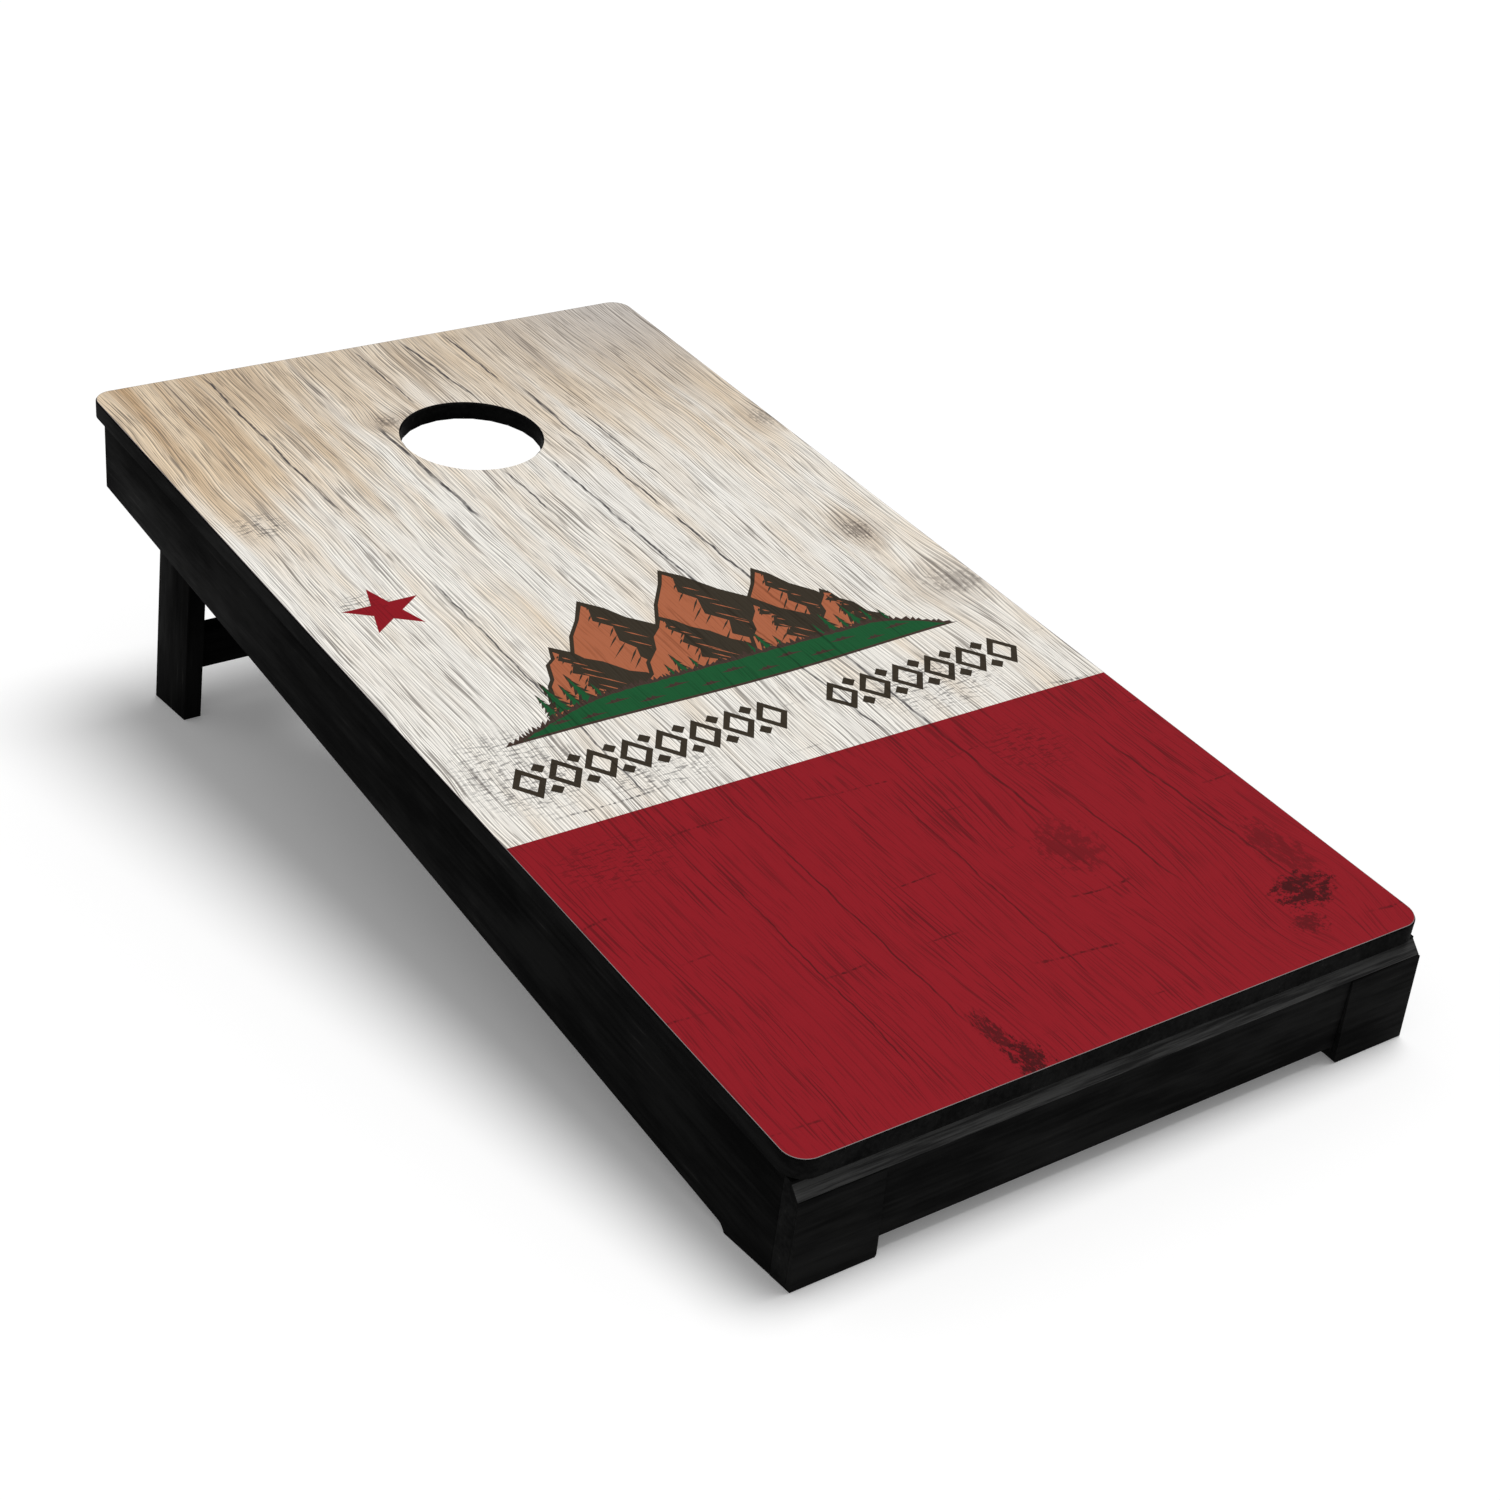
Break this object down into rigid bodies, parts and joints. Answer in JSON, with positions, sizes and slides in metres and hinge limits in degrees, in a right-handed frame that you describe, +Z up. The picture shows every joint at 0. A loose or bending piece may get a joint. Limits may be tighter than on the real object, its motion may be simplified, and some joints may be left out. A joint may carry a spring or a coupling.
{
  "type": "cornhole board",
  "caption": "Sloped plywood target board for a bag-toss lawn game, with a round bag hole near its raised rear edge and rear legs that fold flat.",
  "frame": {"origin": "on the floor, under the middle of the board's bounding box", "axes": "+X to the right across the board, +Y from the low front edge to the high rear edge, +Z up"},
  "size_m": [0.61, 1.2062, 0.3138],
  "materials": {
    "printed_wrap": "satin laminated vinyl with a weathered-wood print",
    "painted_deck": "satin black paint over plywood",
    "painted_frame": "satin black paint over plywood",
    "black_screw": "black phosphate",
    "zinc_steel": "bright zinc",
    "brass_insert": "plain brass",
    "nylon_spacer": "black nylon"
  },
  "bodies": {
    "board": {"deck_wrap": "printed_wrap", "deck_panel": "painted_deck", "front_rail": "painted_frame", "rear_rail": "painted_frame", "middle_brace": "painted_frame", "side_rail_left": "painted_frame", "front_foot_facing_left": "painted_frame", "leg_stop_block_left": "painted_frame", "threaded_insert_left": "brass_insert", "pivot_spacer_left": "nylon_spacer", "pivot_washer_left": "zinc_steel", "pivot_bolt_left": "zinc_steel", "front_rail_screw_left_1": "black_screw", "front_rail_screw_left_2": "black_screw", "rear_rail_screw_left_1": "black_screw", "rear_rail_screw_left_2": "black_screw", "brace_screw_left_1": "black_screw", "brace_screw_left_2": "black_screw", "stop_block_screw_left_1": "black_screw", "stop_block_screw_left_2": "black_screw", "deck_screw_left_front": "black_screw", "deck_screw_left_middle": "black_screw", "deck_screw_left_rear": "black_screw", "side_rail_right": "painted_frame", "front_foot_facing_right": "painted_frame", "leg_stop_block_right": "painted_frame", "threaded_insert_right": "brass_insert", "pivot_spacer_right": "nylon_spacer", "pivot_washer_right": "zinc_steel", "pivot_bolt_right": "zinc_steel", "front_rail_screw_right_1": "black_screw", "front_rail_screw_right_2": "black_screw", "rear_rail_screw_right_1": "black_screw", "rear_rail_screw_right_2": "black_screw", "brace_screw_right_1": "black_screw", "brace_screw_right_2": "black_screw", "stop_block_screw_right_1": "black_screw", "stop_block_screw_right_2": "black_screw", "deck_screw_right_front": "black_screw", "deck_screw_right_middle": "black_screw", "deck_screw_right_rear": "black_screw", "deck_screw_front_left": "black_screw", "deck_screw_front_right": "black_screw", "deck_screw_rear_left": "black_screw", "deck_screw_rear_right": "black_screw"},
    "legs": {"leg_crossbar": "painted_frame", "leg_left": "painted_frame", "leg_right": "painted_frame", "crossbar_screw_left_1": "black_screw", "crossbar_screw_left_2": "black_screw", "crossbar_screw_right_1": "black_screw", "crossbar_screw_right_2": "black_screw"}
  },
  "joints": [
    {"name": "leg_fold", "type": "hinge", "parent": "board", "child": "legs", "pos_m": [0, 0.4584, 0.23453], "axis": [-1, 0, 0], "range_deg": [0, 96]}
  ]
}
